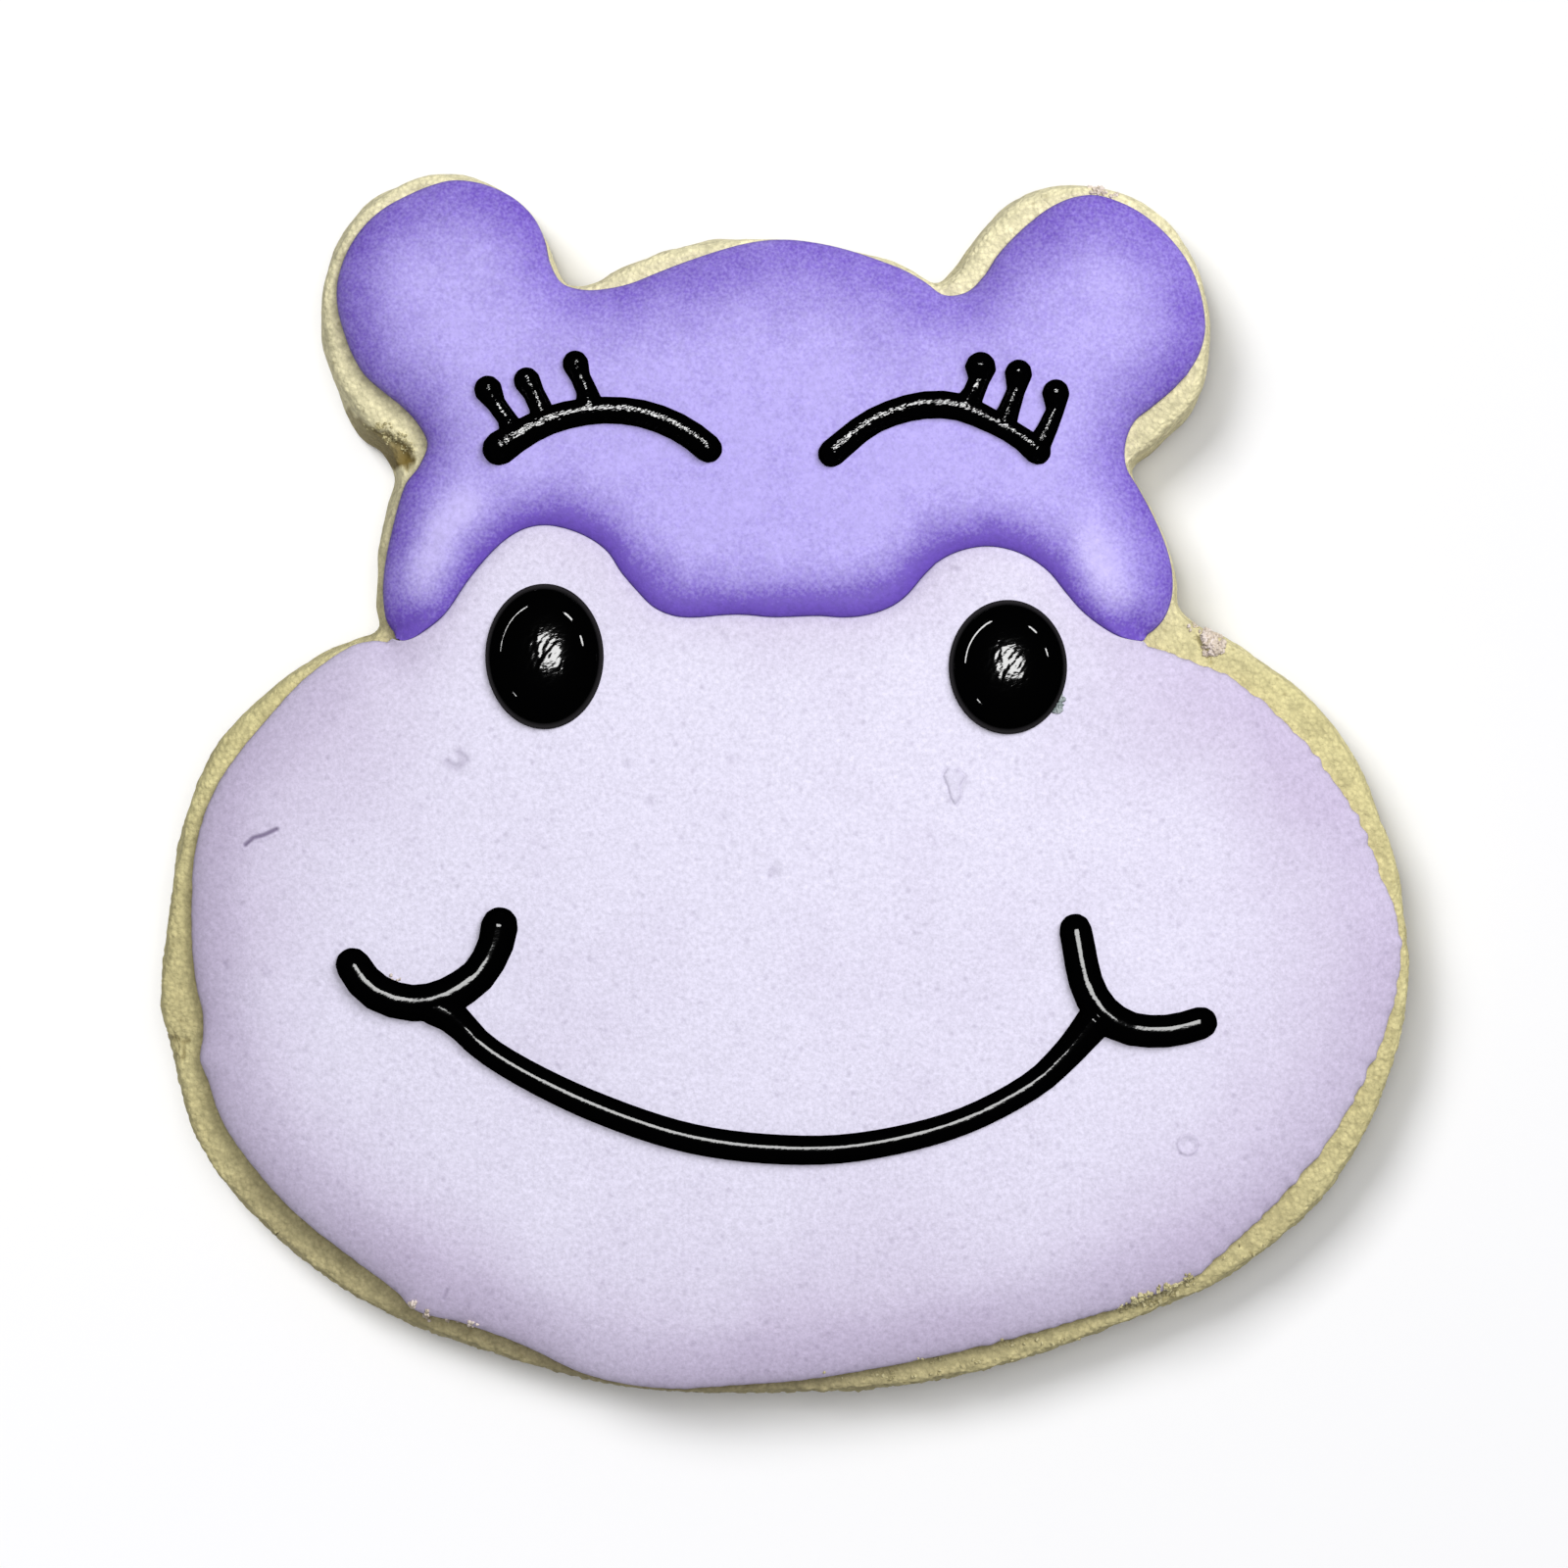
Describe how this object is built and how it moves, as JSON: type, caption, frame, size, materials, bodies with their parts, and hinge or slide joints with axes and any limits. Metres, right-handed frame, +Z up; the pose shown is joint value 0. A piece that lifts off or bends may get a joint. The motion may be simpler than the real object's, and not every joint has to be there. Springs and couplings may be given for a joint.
{
  "type": "iced sugar cookie",
  "caption": "Flat sugar cookie cut as a hippo's face, flooded with lilac and violet icing, with glossy black piped eyes, nostrils and smile.",
  "frame": {"origin": "middle of the footprint, on the surface that the cookie lies on", "axes": "+Z up out of the iced face, +Y towards the ears, +X towards the ear that is on the right when the face is looked at"},
  "size_m": [0.0902, 0.088, 0.0101],
  "materials": {
    "biscuit": "dry baked dough, matte and finely porous",
    "lilac_icing": "set royal icing, satin",
    "violet_icing": "set royal icing, satin, airbrushed darker at the edges",
    "black_icing": "piped royal icing, glossy"
  },
  "bodies": {
    "root": {"biscuit": "biscuit", "muzzle_icing": "lilac_icing", "head_icing": "violet_icing", "nostril_left": "black_icing", "nostril_right": "black_icing", "eye_left": "black_icing", "eye_right": "black_icing", "smile": "black_icing"}
  },
  "joints": []
}
